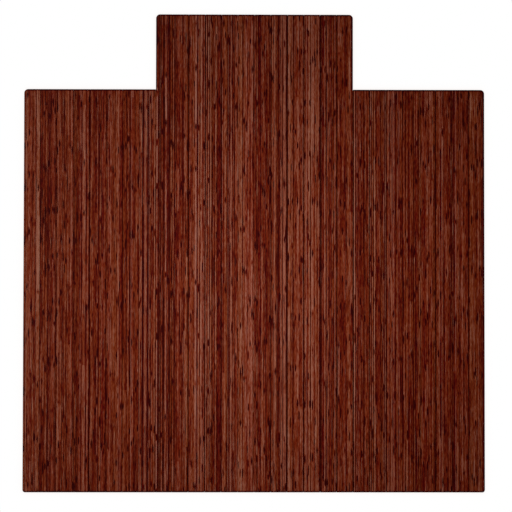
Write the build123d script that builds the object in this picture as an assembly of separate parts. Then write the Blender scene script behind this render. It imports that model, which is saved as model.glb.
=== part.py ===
"""Roll-up bamboo chair mat with a lip: long slats laid side by side and bonded to one felt backing.

Frame: millimetres, +Z up, +Y towards the lip that goes under the desk, +X to the right seen from above.
The origin is the bottom centre of the whole mat, on the floor. Slats and backing strips are numbered
from the left edge. The felt is one sheet on the real mat and is divided here at the lines on which it
bends, so that each slat carries its own strip of it.
"""

import os

from build123d import *

# Slats
SLAT_WIDTH = 49.2
SLAT_THICKNESS = 6.5
JOINT_GAP = 0.7
JOINT_BEVEL = 0.6

# Outline: a wing of slats on each side of the longer slats that make the lip
WING_SLATS = 8
LIP_SLATS = 12
BODY_LENGTH = 1219.5
LIP_LENGTH = 228.5
BACK_CORNER_RADIUS = 12.0
FRONT_CORNER_RADIUS = 8.0
EDGE_ROUND = 2.5

# Felt backing
FELT_THICKNESS = 1.5
FELT_INSET = 1.0
FELT_FOLD_GAP = 0.8

# Sizes that follow from the values above
SLAT_COUNT = 2 * WING_SLATS + LIP_SLATS
PITCH = SLAT_WIDTH + JOINT_GAP
MAT_WIDTH = SLAT_COUNT * PITCH - JOINT_GAP
LIP_WIDTH = LIP_SLATS * PITCH - JOINT_GAP
MAT_LENGTH = BODY_LENGTH + LIP_LENGTH
FRONT_Y = -MAT_LENGTH / 2
WING_END_Y = FRONT_Y + BODY_LENGTH
LIP_END_Y = MAT_LENGTH / 2
SLAT_TOP = FELT_THICKNESS + SLAT_THICKNESS
FOLD_AXIS_Z = FELT_THICKNESS / 2


def fold_x(number):
    """X of the line on which the felt bends between slat number and the next one."""
    return (number - SLAT_COUNT / 2) * PITCH


def panel(width, front, back):
    """A flat rectangle centred on the mat's middle line, from front to back along Y."""
    return Pos(0, (front + back) / 2) * Rectangle(width, back - front)


def outline(inset):
    """The mat seen from above, taken in by inset all round, with its outer corners rounded."""
    front, wing_end, lip_end = FRONT_Y + inset, WING_END_Y - inset, LIP_END_Y - inset
    body = panel(MAT_WIDTH - 2 * inset, front, wing_end)
    body = fillet(body.vertices().group_by(Axis.Y)[0], FRONT_CORNER_RADIUS - inset)
    body = fillet(body.vertices().group_by(Axis.Y)[-1], BACK_CORNER_RADIUS - inset)
    lip = panel(LIP_WIDTH - 2 * inset, (front + wing_end) / 2, lip_end)
    lip = fillet(lip.vertices().group_by(Axis.Y)[-1], BACK_CORNER_RADIUS - inset)
    return body + lip


def divider(number, gap):
    """A tall box over one slat's place, half a gap short of its fold lines, that cuts it out of a sheet."""
    left, right = fold_x(number - 1) + gap / 2, fold_x(number) - gap / 2
    return Pos((left + right) / 2, 0, SLAT_TOP / 2) * Box(right - left, 2 * MAT_LENGTH, 2 * SLAT_TOP)


def slat_sheet():
    """All slats as one sheet, with the upper edge rounded over all round the mat."""
    sheet = Pos(0, 0, FELT_THICKNESS) * extrude(outline(0), SLAT_THICKNESS)
    rim = sheet.faces().sort_by(Axis.Z)[-1].outer_wire().edges()
    return fillet(rim, EDGE_ROUND)


def joint_groove(number):
    """The V that the bevelled upper edges of a slat and the next one leave between them."""
    inside_lip = WING_SLATS < number < SLAT_COUNT - WING_SLATS
    back = LIP_END_Y if inside_lip else WING_END_Y
    half_mouth = JOINT_GAP / 2 + JOINT_BEVEL
    profile = make_face(
        Polyline(
            (-half_mouth, SLAT_TOP),
            (half_mouth, SLAT_TOP),
            (0, SLAT_TOP - half_mouth),
            close=True,
        )
    )
    groove = Plane.XZ.offset(-back) * extrude(profile, back - FRONT_Y)
    return Pos(fold_x(number), 0, 0) * groove


def make_slat(number, sheet):
    slat = sheet & divider(number, JOINT_GAP)
    for joint in (number - 1, number):
        if 0 < joint < SLAT_COUNT:
            slat -= joint_groove(joint)
    return slat


def make_backing(number, felt):
    return felt & divider(number, FELT_FOLD_GAP)


def main():
    os.makedirs("parts", exist_ok=True)
    sheet = slat_sheet()
    felt = extrude(outline(FELT_INSET), FELT_THICKNESS)
    for number in range(1, SLAT_COUNT + 1):
        export_step(make_slat(number, sheet), f"parts/slat_{number:02d}.step")
        export_step(make_backing(number, felt), f"parts/backing_{number:02d}.step")
    print(f"mat {MAT_WIDTH:.1f} x {MAT_LENGTH:.1f} x {SLAT_TOP:.1f}, slats every {PITCH:.1f}")
    print(f"felt bends at z {FOLD_AXIS_Z:.2f}, first and last line at x -+{fold_x(SLAT_COUNT - 1):.1f}")


main()
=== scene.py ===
"""Looks of the roll-up bamboo chair mat: stained bamboo slats, the felt under them, light and camera."""

import math
import random
from collections import namedtuple

import bmesh
import bpy
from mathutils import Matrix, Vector


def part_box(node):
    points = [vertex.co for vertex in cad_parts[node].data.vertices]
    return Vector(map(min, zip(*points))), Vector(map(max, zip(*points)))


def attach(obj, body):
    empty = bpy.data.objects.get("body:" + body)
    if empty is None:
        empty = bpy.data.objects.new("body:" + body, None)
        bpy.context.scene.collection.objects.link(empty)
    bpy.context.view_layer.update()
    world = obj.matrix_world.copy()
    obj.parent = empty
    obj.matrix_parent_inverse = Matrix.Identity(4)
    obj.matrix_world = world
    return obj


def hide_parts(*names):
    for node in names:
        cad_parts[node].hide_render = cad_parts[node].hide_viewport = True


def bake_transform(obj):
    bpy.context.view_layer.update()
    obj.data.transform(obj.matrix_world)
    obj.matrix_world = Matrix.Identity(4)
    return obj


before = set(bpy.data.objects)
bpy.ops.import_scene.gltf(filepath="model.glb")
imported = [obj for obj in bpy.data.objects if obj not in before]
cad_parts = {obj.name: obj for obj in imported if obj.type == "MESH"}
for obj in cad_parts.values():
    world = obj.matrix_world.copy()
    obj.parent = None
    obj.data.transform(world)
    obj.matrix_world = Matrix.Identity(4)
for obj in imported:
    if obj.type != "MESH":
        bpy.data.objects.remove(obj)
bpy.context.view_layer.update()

MM = 0.001
ACROSS, ALONG = (1, 0, 0), (0, 1, 0)

# ---------------------------------------------------------------- shape of the slats and the felt

EDGE_ROUND = 2.5 * MM
BACK_CORNER_RADIUS = 12.0 * MM
FRONT_CORNER_RADIUS = 8.0 * MM
ROUND_STEPS = 6
SLAT_SHARP_ANGLE = math.radians(25)

FOLD_HALF_WIDTH = 0.6 * MM
FOLD_STEPS = 6
FELT_EDGE_SOFTNESS = 0.3 * MM
FELT_SHARP_ANGLE = math.radians(40)

# ---------------------------------------------------------------- joints, by the slat on their left

# bevel: of the two top edges. opening: how much further than the CAD's slats each slat stands back.
# line: strength of the dark line just right of the joint. stain: strength of the stain on its bevels.
Joint = namedtuple("Joint", "bevel opening line stain")
OPEN_JOINT = Joint(bevel=0.9 * MM, opening=0.35 * MM, line=1.6, stain=1.0)
DARK_JOINT = Joint(bevel=0.6 * MM, opening=0.1 * MM, line=1.0, stain=1.0)
PLAIN_JOINT = Joint(bevel=0.35 * MM, opening=0.0, line=0.5, stain=0.25)
FAINT_JOINT = Joint(bevel=0.35 * MM, opening=0.0, line=0.0, stain=0.25)
JOINTS = {
    **dict.fromkeys((18, 20), OPEN_JOINT),
    **dict.fromkeys((4, 10, 11, 12, 15, 16, 17, 19, 21, 22, 25, 27), DARK_JOINT),
    **dict.fromkeys((8, 13, 14, 24), FAINT_JOINT),
}

# ---------------------------------------------------------------- strips that a slat is glued from

STRIP_COUNTS = (9, 10, 11)
FINE_STRIP_COUNTS = (13, 14, 15)
FINE_SLATS = (8, 9, 11, 12, 13, 16, 19, 21, 22)
STRIP_WIDTHS = (0.7, 0.8, 1.0, 1.0, 1.3, 1.8)
STRIP_WIDTH_SPREAD = (0.8, 1.2)
STRIP_WIDTH_SEED = 1000

# Tones are added to the middle of the colour ramp: -0.5 is the darkest and 0.5 the lightest. Pairs are
# ranges. Each strip swings back from the tone of the one before it, by the share STRIP_TONE_RETURN.
TRAIT_SEED = 7
LIGHT_SLATS, LIGHT_SLAT_TONE = (1, 13, 14, 17, 18), 0.08
DARK_SLATS, DARK_SLAT_TONE = (2, 5, 7, 8, 9, 23, 24), -0.06
SLAT_TONE_SPREAD = 0.02
CONTRAST = (0.6, 0.85)
FINE_CONTRAST = (1.3, 1.6)
STRIP_TONE_SPREAD = 0.1
STRIP_TONE_RETURN = -0.45
# Listed strips get one light tone. At the left sides of slats 17 and 21 it is a painted highlight of the
# bevel right of their joints.
LIGHT_AND_HIGHLIGHT_STRIPS = ((1, -1), (8, 0), (12, -5), (17, 0), (21, 0))
LIGHT_AND_HIGHLIGHT_STRIP_TONE = 0.3
LEANS = (0.05, 0.2)
# Lines along a strip's left side: positive ones are dark glue, negative ones a painted highlight, as if
# the strip's left edge caught the key lamp.
GLUE_LINES_AND_GLINTS = (-0.8, -0.4, 0.0, 0.0, 0.0, 0.5, 0.8, 1.1)

# A strip's seed: whole steps change its grain, fractions move its nodes along it. A strip that goes
# together with the one before it has its nodes beside that one's.
SEED_RANGE = 900
TOGETHER_CHANCE = 0.15
TOGETHER_STEP = 10
TOGETHER_SLIP = 0.03

# ---------------------------------------------------------------- grain and colour

# A noise's grain size in mm across and along the strip, its own shift, and how far it moves the tone
Grain = namedtuple("Grain", "across along shift amount")
LINES = Grain(across=0.9, along=1500, shift=13.0, amount=0.7)
DARK_STREAKS = Grain(across=1.5, along=120, shift=0.0, amount=-0.55)
LIGHT_STREAKS = Grain(across=1.3, along=100, shift=47.0, amount=0.45)
FLECKS = Grain(across=1.4, along=14, shift=81.0, amount=1.0)
FIBRES = Grain(across=0.5, along=22, shift=31.0, amount=0.4)
DRIFT = Grain(across=400, along=260, shift=57.0, amount=0.15)
DARK_STREAK_RANGE = (0.54, 0.7)
LIGHT_STREAK_RANGE = (0.56, 0.72)
FIBRE_DETAIL, FIBRE_ROUGHNESS = 2.0, 0.6

NODE_PITCH = 152.0 * MM
NODE_HALF_WIDTH = 2.2 * MM
NODE_TAPER = 10.0 * MM
NODE_RAGGEDNESS = 4.0 * MM
NODE_CORE, NODE_END = 7.0 * MM, 16.0 * MM
NODE_STRENGTHS = (0.35, 0.95, 0.12, 1.0)
NODE_AMOUNT = -1.3
INTERNODE_SHIFT = 5.0
INTERNODE_AMOUNT = 0.32

LINE_CORE, LINE_END = 0.9 * MM, 1.5 * MM
LINE_GROWTH = 0.5 * MM
LINE_AMOUNT = -0.95

# Painted shade along the mat's outline: a band that darkens towards the rounded rim, narrower on the
# left rim, which the key lamp lights.
RIM_SHADE_WIDTH = 7.0 * MM
LEFT_RIM_SHADE_LOSS = 0.6 * RIM_SHADE_WIDTH
RIM_SHADE_FULL = 0.75
# Where the surface falls off: the joints' stain, and painted shade on the mat's rounded rim.
STAIN_AND_SHADE_TOP, STAIN_AND_SHADE_FULL = 0.02 * MM, 0.35 * MM
STAIN_AND_SHADE_AMOUNT = -0.8

# Colours are display values from 0 to 255
BAMBOO_COLOURS = (
    (0.0, (46, 0, 0)),
    (0.25, (82, 3, 0)),
    (0.5, (108, 35, 6)),
    (0.75, (129, 60, 36)),
    (1.0, (149, 95, 77)),
)
HUE_SPREAD = 0.006
BAMBOO_ROUGHNESS = (0.42, 0.56)
BAMBOO_GLOSS = 0.08
BAMBOO_BUMP = {"Strength": 0.25, "Distance": 0.2 * MM}
FELT_COLOURS = ((0.3, (31, 20, 15)), (0.55, (54, 38, 31)), (0.75, (84, 65, 55)))
FELT_ROUGHNESS = 0.95
FELT_GLOSS = 0.1
FELT_BUMP = {"Strength": 0.8, "Distance": 0.4 * MM}
FELT_FIBRE_SCALE, FELT_FIBRE_SHARE = 900.0, 0.7
FELT_PATCH_SCALE, FELT_PATCH_SHARE = 60.0, 0.3

# ---------------------------------------------------------------- studio

FLOOR_SIZE = 12
FLOOR_Z = -0.3 * MM
SHADE_REACH = 30.0 * MM
SHADE_TINT = (0.95, 0.88, 0.85, 1)
SHADE_FULL = 0.3
WHITE = (1, 1, 1, 1)
WALL_LIGHT = 0.6
CEILING_SHARE = 0.12
CEILING_FROM, CEILING_TO = 0.25, 0.75
OVERHEAD_PLACE, OVERHEAD_AIM = (0.03, -0.12, 1.0), (0.03, -0.12, 0)
KEY_PLACE, KEY_AIM = (-2.8, 0.3, 1.6), (0, 0, 0)
CAMERA_LENS = 85
SENSOR_WIDTH = 36
CAMERA_PLACE = (-0.0155, -0.0761, 3.6677)
CAMERA_TURN = (1.031, -0.328, 0.076)


# ---------------------------------------------------------------- places read from the frame


def number_of(name):
    return int(name.split("_")[-1])


def box(kind, number):
    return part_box(f"{kind}_{number:02d}")


SLAT_COUNT = max(number_of(n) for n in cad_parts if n.startswith("slat_"))
SLATS = range(1, SLAT_COUNT + 1)
TOP = box("slat", 1)[1].z
WING_END = box("slat", 1)[1].y
LIP_END = max(box("slat", n)[1].y for n in SLATS)
LIP_SLATS = [n for n in SLATS if box("slat", n)[1].y > (WING_END + LIP_END) / 2]
LIP_FIRST, LIP_LAST = LIP_SLATS[0], LIP_SLATS[-1]
FELT_INSET = WING_END - box("backing", 1)[1].y


def middle_x(number):
    low, high = box("slat", number)
    return (low.x + high.x) / 2


def fold_x(number):
    """X of the joint between slat number and the next one."""
    return (box("slat", number)[1].x + box("slat", number + 1)[0].x) / 2


def joint_kind(joint):
    return JOINTS.get(joint, PLAIN_JOINT)


# ---------------------------------------------------------------- mesh helpers


def corner(x, y, turn, radius):
    """Points round an outline's corner at x, y, counterclockwise. turn is 0 for the back right corner,
    1 for the back left, 2 for the front left and 3 for the front right one."""
    if radius <= 0:
        return [(x, y)]
    to_right, to_back = (1, -1, -1, 1)[turn], (1, 1, -1, -1)[turn]
    cx, cy = x - to_right * radius, y - to_back * radius
    angles = [math.radians(90 * (turn + k / ROUND_STEPS)) for k in range(ROUND_STEPS + 1)]
    return [(cx + radius * math.cos(a), cy + radius * math.sin(a)) for a in angles]


def stack(levels):
    """A closed mesh through outlines of equally many points. levels lists (z, points), upwards."""
    bm = bmesh.new()
    rings = [[bm.verts.new((x, y, z)) for x, y in points] for z, points in levels]
    count = len(rings[0])
    for low, high in zip(rings, rings[1:]):
        for k in range(count):
            n = (k + 1) % count
            bm.faces.new((low[k], low[n], high[n], high[k]))
    bm.faces.new(rings[-1])
    bm.faces.new(reversed(rings[0]))
    bm.normal_update()
    return bm


def cut_at(bm, places, axis):
    """Cuts every face of bm along upright planes that lie across an axis, at those places on it."""
    for place in places:
        parts = list(bm.verts) + list(bm.edges) + list(bm.faces)
        bmesh.ops.bisect_plane(
            bm, geom=parts, dist=1e-7, plane_co=Vector(axis) * place, plane_no=axis
        )


def new_piece(name, bm, material):
    mesh = bpy.data.meshes.new(name)
    bm.to_mesh(mesh)
    bm.free()
    mesh.materials.append(material)
    piece = bpy.data.objects.new(name, mesh)
    bpy.context.scene.collection.objects.link(piece)
    return piece


# ---------------------------------------------------------------- node helpers


class Nodes:
    """Short ways to add nodes to the node tree of a material or world."""

    def __init__(self, tree):
        self.tree = tree

    def add(self, kind, settings=None, **inputs):
        """A new node. An input is given by its name, with _ for a space, or as in0, in1 and so on."""
        node = self.tree.nodes.new(kind)
        for key, value in (settings or {}).items():
            setattr(node, key, value)
        for key, value in inputs.items():
            socket = int(key[2:]) if key.startswith("in") else key.replace("_", " ")
            self.put(node.inputs[socket], value)
        return node

    def put(self, socket, value):
        if isinstance(value, bpy.types.NodeSocket):
            self.tree.links.new(value, socket)
        else:
            socket.default_value = value

    def math(self, operation, a, b=0.0):
        return self.add("ShaderNodeMath", {"operation": operation}, in0=a, in1=b).outputs[0]

    def swing(self, value, amount):
        """Turns a value around 0.5 into one around 0 that spans amount."""
        return self.math("MULTIPLY", self.math("SUBTRACT", value, 0.5), amount)

    def attribute(self, name):
        return self.add("ShaderNodeAttribute", {"attribute_name": name}).outputs["Fac"]

    def noise(self, vector, scale=1.0, detail=1.0, roughness=0.5, distortion=0.0):
        node = self.add(
            "ShaderNodeTexNoise",
            Vector=vector,
            Scale=scale,
            Detail=detail,
            Roughness=roughness,
            Distortion=distortion,
        )
        return node.outputs["Fac"]

    def pick(self, x, y):
        """A random value for each pair of x and y."""
        node = self.add("ShaderNodeTexWhiteNoise", {"noise_dimensions": "2D"})
        pair = self.add("ShaderNodeCombineXYZ", X=x, Y=y)
        self.put(node.inputs["Vector"], pair.outputs[0])
        return node.outputs["Value"]

    def smooth(self, value, low, high, to_low=0.0, to_high=1.0, kind="SMOOTHSTEP"):
        node = self.add(
            "ShaderNodeMapRange",
            {"interpolation_type": kind},
            in0=value,
            in1=low,
            in2=high,
            in3=to_low,
            in4=to_high,
        )
        return node.outputs[0]

    def ramp(self, value, stops):
        node = self.add("ShaderNodeValToRGB", in0=value)
        points = node.color_ramp.elements
        while len(points) < len(stops):
            points.new(0.5)
        for point, (place, colour) in zip(points, stops):
            point.position = place
            point.color = colour
        return node.outputs["Color"]


def new_material(name):
    material = bpy.data.materials.new(name)
    material.use_nodes = True
    return material, Nodes(material.node_tree), material.node_tree.nodes["Principled BSDF"]


def linear(stops):
    """Stops of a ramp with their colours in the linear values that shaders use."""

    def channel(v):
        v /= 255
        return v / 12.92 if v <= 0.04045 else ((v + 0.055) / 1.055) ** 2.4

    return [(place, (*map(channel, colour), 1.0)) for place, colour in stops]


# ---------------------------------------------------------------- materials


def node_marks(n, y, seed, from_left, width, drift, flecks):
    """Dark marks at nearly equal distances along each strip, and a tone for each length between."""
    slid = n.math("ADD", n.math("MULTIPLY", y, 1 / NODE_PITCH), seed)
    turn = n.math("ADD", slid, n.swing(drift, 1.0))
    from_node = n.math("ABSOLUTE", n.math("SUBTRACT", n.math("FRACT", turn), 0.5))
    from_node = n.math("MULTIPLY", from_node, NODE_PITCH)
    from_middle = n.math("SUBTRACT", from_left, n.math("MULTIPLY", width, 0.5))
    aside = n.math("MULTIPLY", from_middle, 1 / NODE_HALF_WIDTH)
    taper = n.math("MULTIPLY", n.math("MULTIPLY", aside, aside), NODE_TAPER)
    ragged = n.math("ADD", n.math("ADD", from_node, taper), n.swing(flecks, NODE_RAGGEDNESS))
    strength = n.smooth(n.pick(n.math("FLOOR", turn), seed), *NODE_STRENGTHS)
    mark = n.math("MULTIPLY", n.smooth(ragged, NODE_CORE, NODE_END, 1.0, 0.0), strength)
    internode = n.math("FLOOR", n.math("ADD", turn, 0.5))
    between = n.pick(internode, n.math("ADD", seed, INTERNODE_SHIFT))
    return mark, between


def bamboo_material():
    """Red-brown stained bamboo. Each strip has its own tone and grain along Y, with dark nodes, painted
    shade along the mat's rim and painted highlights along some strips.
    """
    material, n, shader = new_material("stained_bamboo")
    place = n.add("ShaderNodeTexCoord").outputs["Object"]
    x, y, z = n.add("ShaderNodeSeparateXYZ", in0=place).outputs
    seed = n.attribute("strip_seed")
    tone = n.attribute("strip_tone")
    lean = n.attribute("strip_lean")
    glue = n.attribute("strip_glue")
    from_left = n.attribute("strip_from_left")
    width = n.attribute("strip_width")
    joint_stain_and_rim_shade = n.attribute("joint_stain_and_rim_shade")
    rim = n.attribute("rim")

    def grain(kind, detail=1.0, roughness=0.5):
        """A noise with grains of that kind, different in each strip."""
        across, along = 1 / (kind.across * MM), 1 / (kind.along * MM)
        shifted = n.math("ADD", seed, kind.shift)
        vector = n.add(
            "ShaderNodeCombineXYZ",
            X=n.math("MULTIPLY", x, across),
            Y=n.math("MULTIPLY", y, along),
            Z=n.math("ADD", n.math("MULTIPLY", z, across), shifted),
        )
        return n.noise(vector.outputs[0], detail=detail, roughness=roughness)

    lines = grain(LINES)
    dark_streaks = n.smooth(grain(DARK_STREAKS), *DARK_STREAK_RANGE)
    light_streaks = n.smooth(grain(LIGHT_STREAKS), *LIGHT_STREAK_RANGE)
    flecks = grain(FLECKS)
    fibres = grain(FIBRES, FIBRE_DETAIL, FIBRE_ROUGHNESS)
    drift = grain(DRIFT)
    mark, between = node_marks(n, y, seed, from_left, width, drift, flecks)

    # A line along a strip's left side: dark glue where positive, a painted highlight where negative, as
    # if the strip's left edge caught the key lamp. The darker it is, the wider.
    reach = n.math("SUBTRACT", from_left, n.math("MULTIPLY", glue, LINE_GROWTH))
    line = n.math("MULTIPLY", n.smooth(reach, LINE_CORE, LINE_END, 1.0, 0.0), glue)

    # Darker where the surface falls off: the joints' stain, and painted shade on the mat's rounded rim
    # and in a band along it
    fallen = n.smooth(n.math("SUBTRACT", TOP, z), STAIN_AND_SHADE_TOP, STAIN_AND_SHADE_FULL)
    rim_shade = n.smooth(rim, 0.0, RIM_SHADE_FULL)
    stain = n.math("MAXIMUM", n.math("MULTIPLY", fallen, joint_stain_and_rim_shade), rim_shade)

    across_strip = n.math("SUBTRACT", n.math("DIVIDE", from_left, width), 0.5)
    value = 0.5
    for part in (
        tone,
        n.swing(lines, LINES.amount),
        n.math("MULTIPLY", dark_streaks, DARK_STREAKS.amount),
        n.math("MULTIPLY", light_streaks, LIGHT_STREAKS.amount),
        n.swing(flecks, FLECKS.amount),
        n.swing(fibres, FIBRES.amount),
        n.swing(drift, DRIFT.amount),
        n.swing(between, INTERNODE_AMOUNT),
        n.math("MULTIPLY", across_strip, lean),
        n.math("MULTIPLY", mark, NODE_AMOUNT),
        n.math("MULTIPLY", line, LINE_AMOUNT),
        # stain at the joints, painted shade along the rim
        n.math("MULTIPLY", stain, STAIN_AND_SHADE_AMOUNT),
    ):
        value = n.math("ADD", value, part)
    colour = n.ramp(value, linear(BAMBOO_COLOURS))
    hue = n.add("ShaderNodeTexWhiteNoise", {"noise_dimensions": "1D"}, W=seed).outputs["Value"]
    hue = n.math("ADD", 0.5, n.swing(hue, HUE_SPREAD))
    colour = n.add("ShaderNodeHueSaturation", Hue=hue, Color=colour).outputs[0]
    gloss = n.smooth(n.math("SUBTRACT", fallen, rim), 0.0, 1.0, BAMBOO_GLOSS, 0.0)
    bump = n.add("ShaderNodeBump", **BAMBOO_BUMP, Height=fibres)
    n.put(shader.inputs["Base Color"], colour)
    n.put(shader.inputs["Roughness"], n.smooth(fibres, 0.2, 0.8, *BAMBOO_ROUGHNESS))
    n.put(shader.inputs["Specular IOR Level"], gloss)
    n.put(shader.inputs["Normal"], bump.outputs[0])
    return material


def felt_material():
    """Dark needle felt: matted fibres without a direction."""
    material, n, shader = new_material("needle_felt")
    place = n.add("ShaderNodeTexCoord").outputs["Object"]
    fibres = n.noise(place, FELT_FIBRE_SCALE, detail=4.0, roughness=0.7, distortion=1.5)
    patches = n.noise(place, FELT_PATCH_SCALE, detail=3.0)
    fibre_part = n.math("MULTIPLY", fibres, FELT_FIBRE_SHARE)
    value = n.math("ADD", fibre_part, n.math("MULTIPLY", patches, FELT_PATCH_SHARE))
    bump = n.add("ShaderNodeBump", **FELT_BUMP, Height=fibres)
    n.put(shader.inputs["Base Color"], n.ramp(value, linear(FELT_COLOURS)))
    n.put(shader.inputs["Roughness"], FELT_ROUGHNESS)
    n.put(shader.inputs["Specular IOR Level"], FELT_GLOSS)
    n.put(shader.inputs["Normal"], bump.outputs[0])
    return material


BAMBOO = bamboo_material()
FELT = felt_material()


# ---------------------------------------------------------------- slats


def strip_edges(number, left, right):
    """X of the edges of the bamboo strips that one slat is glued from."""
    chance = random.Random(STRIP_WIDTH_SEED + number)
    count = chance.choice(FINE_STRIP_COUNTS if number in FINE_SLATS else STRIP_COUNTS)
    widths = [
        chance.choice(STRIP_WIDTHS) * chance.uniform(*STRIP_WIDTH_SPREAD) for _ in range(count)
    ]
    edges = [left]
    for width in widths:
        edges.append(edges[-1] + width * (right - left) / sum(widths))
    return edges


def slat_outline(number, low, high, depth, rim_inset):
    """The slat seen from above at a depth under its top, its sides at the mat's rim taken in by
    rim_inset."""
    first, last = number == 1, number == SLAT_COUNT
    rim_left, rim_right = number == LIP_FIRST, number == LIP_LAST
    kinds = [joint_kind(number - 1), joint_kind(number)]
    insets = [kind.opening + max(0.0, kind.bevel - depth) for kind in kinds]
    left = low.x + (rim_inset if first else insets[0])
    right = high.x - (rim_inset if last else insets[1])
    front, back = low.y + rim_inset, high.y - rim_inset
    back_radius, front_radius = BACK_CORNER_RADIUS - rim_inset, FRONT_CORNER_RADIUS - rim_inset
    lip_left, lip_right = low.x + rim_inset, high.x - rim_inset
    points = []
    if rim_right:
        points += [(right, WING_END), (lip_right, WING_END + EDGE_ROUND)]
    points += corner(lip_right if rim_right else right, back, 0, back_radius * (last or rim_right))
    points += corner(lip_left if rim_left else left, back, 1, back_radius * (first or rim_left))
    if rim_left:
        points += [(lip_left, WING_END + EDGE_ROUND), (left, WING_END)]
    points += corner(left, front, 2, front_radius * first)
    points += corner(right, front, 3, front_radius * last)
    return points


def slat_mesh(number, low, high, edges):
    """The slat with its rounded rim and bevelled joints, cut into strips and where the painted shade
    along the rim ends."""
    levels = [(low.z, slat_outline(number, low, high, high.z - low.z, 0.0))]
    for step in range(ROUND_STEPS + 1):
        angle = math.radians(90 * step / ROUND_STEPS)
        depth, rim_inset = EDGE_ROUND * (1 - math.sin(angle)), EDGE_ROUND * (1 - math.cos(angle))
        levels.append((high.z - depth, slat_outline(number, low, high, depth, rim_inset)))
    bm = stack(levels)
    x_cuts, y_cuts = edges[1:-1], [low.y + RIM_SHADE_WIDTH, high.y - RIM_SHADE_WIDTH]
    if number in (1, LIP_FIRST):
        x_cuts.append(low.x + RIM_SHADE_WIDTH)
    if number in (SLAT_COUNT, LIP_LAST):
        x_cuts.append(high.x - RIM_SHADE_WIDTH)
    if number in (LIP_FIRST, LIP_LAST):
        y_cuts += [WING_END, WING_END + RIM_SHADE_WIDTH]
    cut_at(bm, x_cuts, ACROSS)
    cut_at(bm, y_cuts, ALONG)
    return bm


def strip_traits(number, edges, chance):
    """What the material reads of each strip of a slat, from its left strip to its right one."""
    strips = len(edges) - 1
    slat_tone = chance.gauss(0, SLAT_TONE_SPREAD)
    slat_tone += LIGHT_SLAT_TONE * (number in LIGHT_SLATS) + DARK_SLAT_TONE * (number in DARK_SLATS)
    contrast = chance.uniform(*(FINE_CONTRAST if number in FINE_SLATS else CONTRAST))
    tones, seeds, leans, glues_and_glints, widths = [], [], [], [], []
    swap = 0.0
    for k in range(strips):
        if k > 0 and chance.random() < TOGETHER_CHANCE:
            slip = chance.uniform(-TOGETHER_SLIP, TOGETHER_SLIP)
            seeds.append(seeds[-1] + TOGETHER_STEP + slip)
        else:
            seeds.append(chance.uniform(0, SEED_RANGE))
        swap = STRIP_TONE_RETURN * swap + chance.gauss(0, STRIP_TONE_SPREAD)
        # the first strips of slats 17 and 21 are a painted highlight of the bevel right of the joint
        light = (number, k) in LIGHT_AND_HIGHLIGHT_STRIPS or (number, k - strips) in LIGHT_AND_HIGHLIGHT_STRIPS
        tones.append(LIGHT_AND_HIGHLIGHT_STRIP_TONE if light else slat_tone + contrast * swap)
        leans.append(chance.choice((-1, 1)) * chance.uniform(*LEANS))
        # a negative line is a painted highlight along the strip's left edge
        glue = chance.choice(GLUE_LINES_AND_GLINTS) * contrast
        glues_and_glints.append(glue if k else joint_kind(number - 1).line)
        widths.append(edges[k + 1] - edges[k])
    return {
        "strip_tone": tones,
        "strip_seed": seeds,
        "strip_lean": leans,
        "strip_glue": glues_and_glints,
        "strip_width": widths,
    }


def rim_distance(number, low, high, co):
    """How far a point of a slat lies inside the mat's outline. The left rim counts as further away,
    because its painted shade is narrower, the key lamp lighting that side."""
    on_lip = co.y > WING_END
    distances = [co.y - low.y, high.y - co.y]
    if number == 1 or (number == LIP_FIRST and on_lip):
        distances.append(co.x - low.x + LEFT_RIM_SHADE_LOSS * (number == 1))
    if number == SLAT_COUNT or (number == LIP_LAST and on_lip):
        distances.append(high.x - co.x)
    return min(distances)


def joint_stain_and_rim_shade(number, low, high, co):
    """Strength of the darkening where the surface falls off: full at the mat's rim, where it is painted
    shade of the rounded edge, else the stain that the joint says.
    """
    joint = number - 1 if co.x < (low.x + high.x) / 2 else number
    between_ends = low.y + 2 * EDGE_ROUND < co.y < high.y - 2 * EDGE_ROUND
    return joint_kind(joint).stain if between_ends and 1 <= joint < SLAT_COUNT else 1.0


def write_attributes(mesh, number, low, high, edges, traits):
    """Puts the strips' traits on the faces, and the distances, the joints' stains and the rim's painted
    shade on their corners.
    """
    last = len(edges) - 2
    strip_of = []
    for face in mesh.polygons:
        x = face.center.x
        strip_of.append(min(max(sum(x > e for e in edges) - 1, 0), last))
    for name, values in traits.items():
        attribute = mesh.attributes.new(name, "FLOAT", "FACE")
        attribute.data.foreach_set("value", [values[s] for s in strip_of])
    corners = {name: [0.0] * len(mesh.loops) for name in ("strip_from_left", "joint_stain_and_rim_shade", "rim")}
    for face, s in zip(mesh.polygons, strip_of):
        for loop in face.loop_indices:
            co = mesh.vertices[mesh.loops[loop].vertex_index].co
            inside = rim_distance(number, low, high, co) / RIM_SHADE_WIDTH
            corners["strip_from_left"][loop] = co.x - edges[s]
            corners["joint_stain_and_rim_shade"][loop] = joint_stain_and_rim_shade(number, low, high, co)
            corners["rim"][loop] = max(0.0, 1 - inside)
    for name, values in corners.items():
        mesh.attributes.new(name, "FLOAT", "CORNER").data.foreach_set("value", values)


def make_slat(number, chance):
    low, high = box("slat", number)
    edges = strip_edges(number, low.x, high.x)
    piece = new_piece(f"bamboo_slat_{number:02d}", slat_mesh(number, low, high, edges), BAMBOO)
    mesh = piece.data
    write_attributes(mesh, number, low, high, edges, strip_traits(number, edges, chance))
    mesh.shade_smooth()
    mesh.set_sharp_from_angle(angle=SLAT_SHARP_ANGLE)
    weighted = piece.modifiers.new("weighted_normals", "WEIGHTED_NORMAL")
    weighted.keep_sharp = True
    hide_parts(f"slat_{number:02d}")
    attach(piece, f"section_{number:02d}")


# ---------------------------------------------------------------- felt


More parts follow.
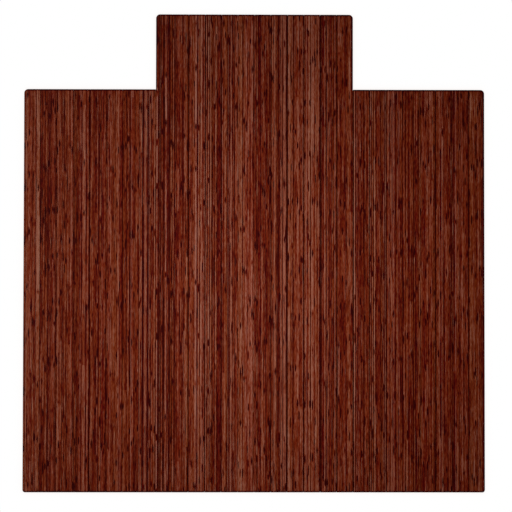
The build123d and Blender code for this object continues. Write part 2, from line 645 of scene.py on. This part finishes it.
def felt_outline(left, right, inset):
    """The felt seen from above between two X values, its free edges taken in by inset."""
    felt_left = box("backing", 1)[0].x + inset
    felt_right = box("backing", SLAT_COUNT)[1].x - inset
    front, wing_back = box("backing", 1)[0].y + inset, box("backing", 1)[1].y - inset
    lip_back = LIP_END - FELT_INSET - inset
    lip_left = box("slat", LIP_FIRST)[0].x + FELT_INSET + inset
    lip_right = box("slat", LIP_LAST)[1].x - FELT_INSET - inset
    back_radius = BACK_CORNER_RADIUS - FELT_INSET - inset
    front_radius = FRONT_CORNER_RADIUS - FELT_INSET - inset
    left, right = max(left, felt_left), min(right, felt_right)
    left_is_lip, right_is_lip = lip_left < left < lip_right, lip_left < right < lip_right
    left_back = lip_back if left_is_lip else wing_back
    right_back = lip_back if right_is_lip else wing_back
    points = corner(right, right_back, 0, back_radius * (right == felt_right))
    if left_is_lip and not right_is_lip:
        points += [(lip_right, wing_back)] + corner(lip_right, lip_back, 0, back_radius)
    if right_is_lip and not left_is_lip:
        points += corner(lip_left, lip_back, 1, back_radius) + [(lip_left, wing_back)]
    points += corner(left, left_back, 1, back_radius * (left == felt_left))
    points += corner(left, front, 2, front_radius * (left == felt_left))
    points += corner(right, front, 3, front_radius * (right == felt_right))
    return points


def area_of(points):
    pairs = zip(points, points[1:] + points[:1])
    return abs(sum(a[0] * b[1] - b[0] * a[1] for a, b in pairs)) / 2


def make_felt(name, left, right, stands_for):
    """A piece of the felt: over one fold, cut across at the fold and not attached to a body, or along a
    side of the mat.
    """
    low, high = box("backing", stands_for[0])
    firm = felt_outline(left, right, 0.0)
    soft = felt_outline(left, right, FELT_EDGE_SOFTNESS)
    bm = stack([(low.z, soft), (low.z + FELT_EDGE_SOFTNESS, firm), (high.z, firm)])
    folds = []
    if len(stands_for) == 2:
        x = fold_x(stands_for[0])
        steps = range(FOLD_STEPS + 1)
        folds = [x + FOLD_HALF_WIDTH * (2 * k / FOLD_STEPS - 1) for k in steps]
        cut_at(bm, folds, ACROSS)
    piece = new_piece(name, bm, FELT)
    piece.data.shade_smooth()
    piece.data.set_sharp_from_angle(angle=FELT_SHARP_ANGLE)
    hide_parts(*[f"backing_{k:02d}" for k in stands_for])
    if folds:
        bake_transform(piece)
    else:
        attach(piece, f"section_{stands_for[0]:02d}")
    area_of(firm)


# ---------------------------------------------------------------- the mat

chance = random.Random(TRAIT_SEED)
for number in SLATS:
    make_slat(number, chance)
make_felt("felt_left_edge", box("backing", 1)[0].x, middle_x(1), [1])
for number in SLATS[:-1]:
    ends = middle_x(number), middle_x(number + 1)
    make_felt(f"felt_fold_{number:02d}", *ends, [number, number + 1])
right_end = box("backing", SLAT_COUNT)[1].x
make_felt("felt_right_edge", middle_x(SLAT_COUNT), right_end, [SLAT_COUNT])


# ---------------------------------------------------------------- floor, light and camera


def make_floor():
    """A plane that only the camera sees: white, with the soft shade of what stands on it. It is
    see-through, because the bent and rolled-up mat reaches below it."""
    bpy.ops.mesh.primitive_plane_add(size=FLOOR_SIZE, location=(0, 0, FLOOR_Z))
    floor = bpy.context.object
    floor.name = "floor"
    material, n, shader = new_material("pale_floor")
    shade = n.add("ShaderNodeAmbientOcclusion", {"samples": 16}, Distance=SHADE_REACH)
    tint = n.ramp(shade.outputs["AO"], [(SHADE_FULL, SHADE_TINT), (1.0, WHITE)])
    clear = n.add("ShaderNodeBsdfTransparent", Color=tint)
    n.put(n.tree.nodes["Material Output"].inputs["Surface"], clear.outputs[0])
    n.tree.nodes.remove(shader)
    floor.data.materials.append(material)
    for kind in ("diffuse", "glossy", "transmission", "volume_scatter", "shadow"):
        setattr(floor, f"visible_{kind}", False)


def make_world():
    """A studio with white walls and floor and a dim ceiling. The camera itself sees plain white."""
    world = bpy.data.worlds.new("studio")
    bpy.context.scene.world = world
    world.use_nodes = True
    world.node_tree.nodes.clear()
    n = Nodes(world.node_tree)
    paths = n.add("ShaderNodeLightPath").outputs
    seen = n.math("MAXIMUM", paths["Is Camera Ray"], paths["Is Transmission Ray"])
    seen = n.math("MAXIMUM", seen, paths["Is Glossy Ray"])
    walls = n.smooth(seen, 0.0, 1.0, WALL_LIGHT, 1.0, kind="LINEAR")
    direction = n.add("ShaderNodeTexCoord").outputs["Generated"]
    height = n.add("ShaderNodeSeparateXYZ", in0=direction).outputs["Z"]
    dimming = n.smooth(height, CEILING_FROM, CEILING_TO, 1.0, CEILING_SHARE)
    level = n.math("MULTIPLY", walls, dimming)
    level = n.math("MAXIMUM", level, paths["Is Camera Ray"])
    background = n.add("ShaderNodeBackground", in0=WHITE, in1=level)
    n.add("ShaderNodeOutputWorld", in0=background.outputs[0])


def make_lamp(name, place, aim, size, power, gloss=True):
    lamp = bpy.data.lights.new(name, "AREA")
    lamp.shape = "SQUARE"
    lamp.size = size
    lamp.energy = power
    holder = bpy.data.objects.new(name, lamp)
    holder.location = place
    holder.rotation_euler = (Vector(aim) - Vector(place)).to_track_quat("-Z", "Y").to_euler()
    holder.visible_camera = False
    holder.visible_glossy = gloss
    bpy.context.scene.collection.objects.link(holder)


def make_camera():
    camera = bpy.data.cameras.new("camera")
    camera.lens = CAMERA_LENS
    camera.sensor_width = SENSOR_WIDTH
    holder = bpy.data.objects.new("camera", camera)
    holder.location = CAMERA_PLACE
    holder.rotation_euler = [math.radians(a) for a in CAMERA_TURN]
    bpy.context.scene.collection.objects.link(holder)
    bpy.context.scene.camera = holder


make_floor()
make_world()
make_lamp("overhead", OVERHEAD_PLACE, OVERHEAD_AIM, size=0.8, power=7.5, gloss=False)
make_lamp("key", KEY_PLACE, KEY_AIM, size=1.6, power=44)
make_camera()
bpy.context.scene.view_settings.view_transform = "Standard"
